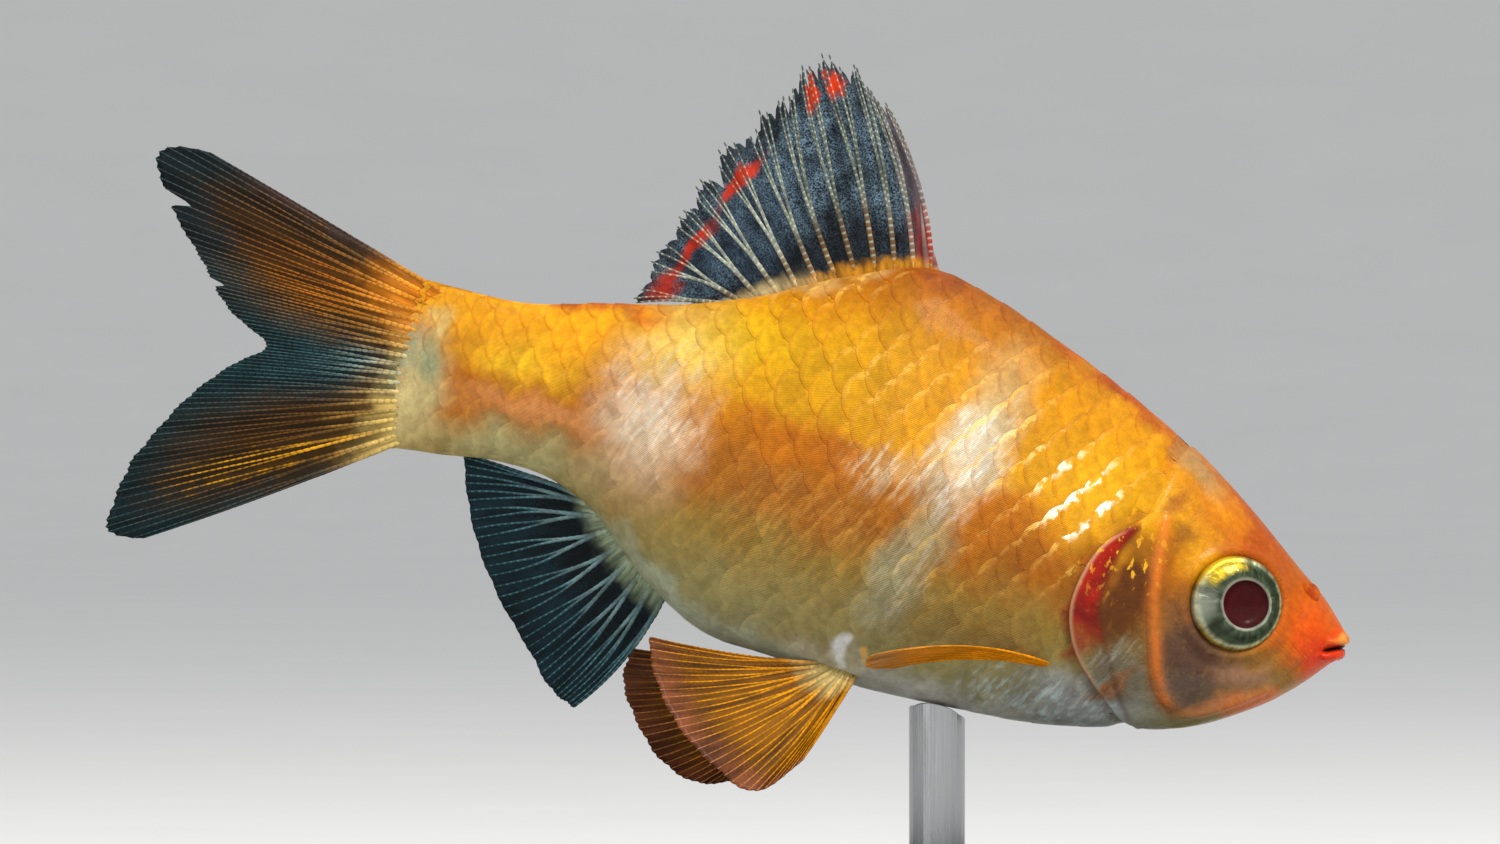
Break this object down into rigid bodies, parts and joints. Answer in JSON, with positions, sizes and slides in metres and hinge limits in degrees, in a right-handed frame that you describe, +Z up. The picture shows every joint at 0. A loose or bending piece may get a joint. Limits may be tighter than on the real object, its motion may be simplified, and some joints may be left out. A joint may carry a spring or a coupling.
{
  "type": "tiger barb fish model",
  "caption": "Life-size deep-bodied aquarium fish with spread rayed fins, tipped nose down and held over a flat rounded base by a short rod.",
  "frame": {"origin": "middle of the whole outline on the ground, under the fish, at the underside of the stand's base", "axes": "+X towards the fish's head, +Y towards the fish's left side, +Z up; the fish swims 16 degrees nose down"},
  "size_m": [0.0622, 0.024, 0.0439],
  "materials": {
    "skin": "wet golden-orange fish skin under fine scales",
    "gill_skin": "smooth orange to red gill cover skin with a pearly sheen",
    "eye": "clear wet eye, silvery green iris and dark red pupil",
    "dark_fin": "thin dark teal fin membrane with pale and red rays",
    "tail_fin": "thin brown-gold tail membrane with beaded rays and teal margin",
    "warm_fin": "thin orange fin membrane with yellow rays",
    "acrylic": "polished pale acrylic",
    "steel": "fine satin steel"
  },
  "bodies": {
    "root": {"head": "skin", "trunk": "skin", "tail_base": "skin", "gill_cover_right": "gill_skin", "gill_cover_left": "gill_skin", "eye_right": "eye", "eye_left": "eye", "dorsal_fin": "dark_fin", "anal_fin": "dark_fin", "caudal_fin": "tail_fin", "pelvic_fin_right": "warm_fin", "pelvic_fin_left": "warm_fin", "pectoral_fin_right": "warm_fin", "pectoral_fin_left": "warm_fin", "stand_base": "acrylic", "stand_rod": "steel"}
  },
  "joints": []
}
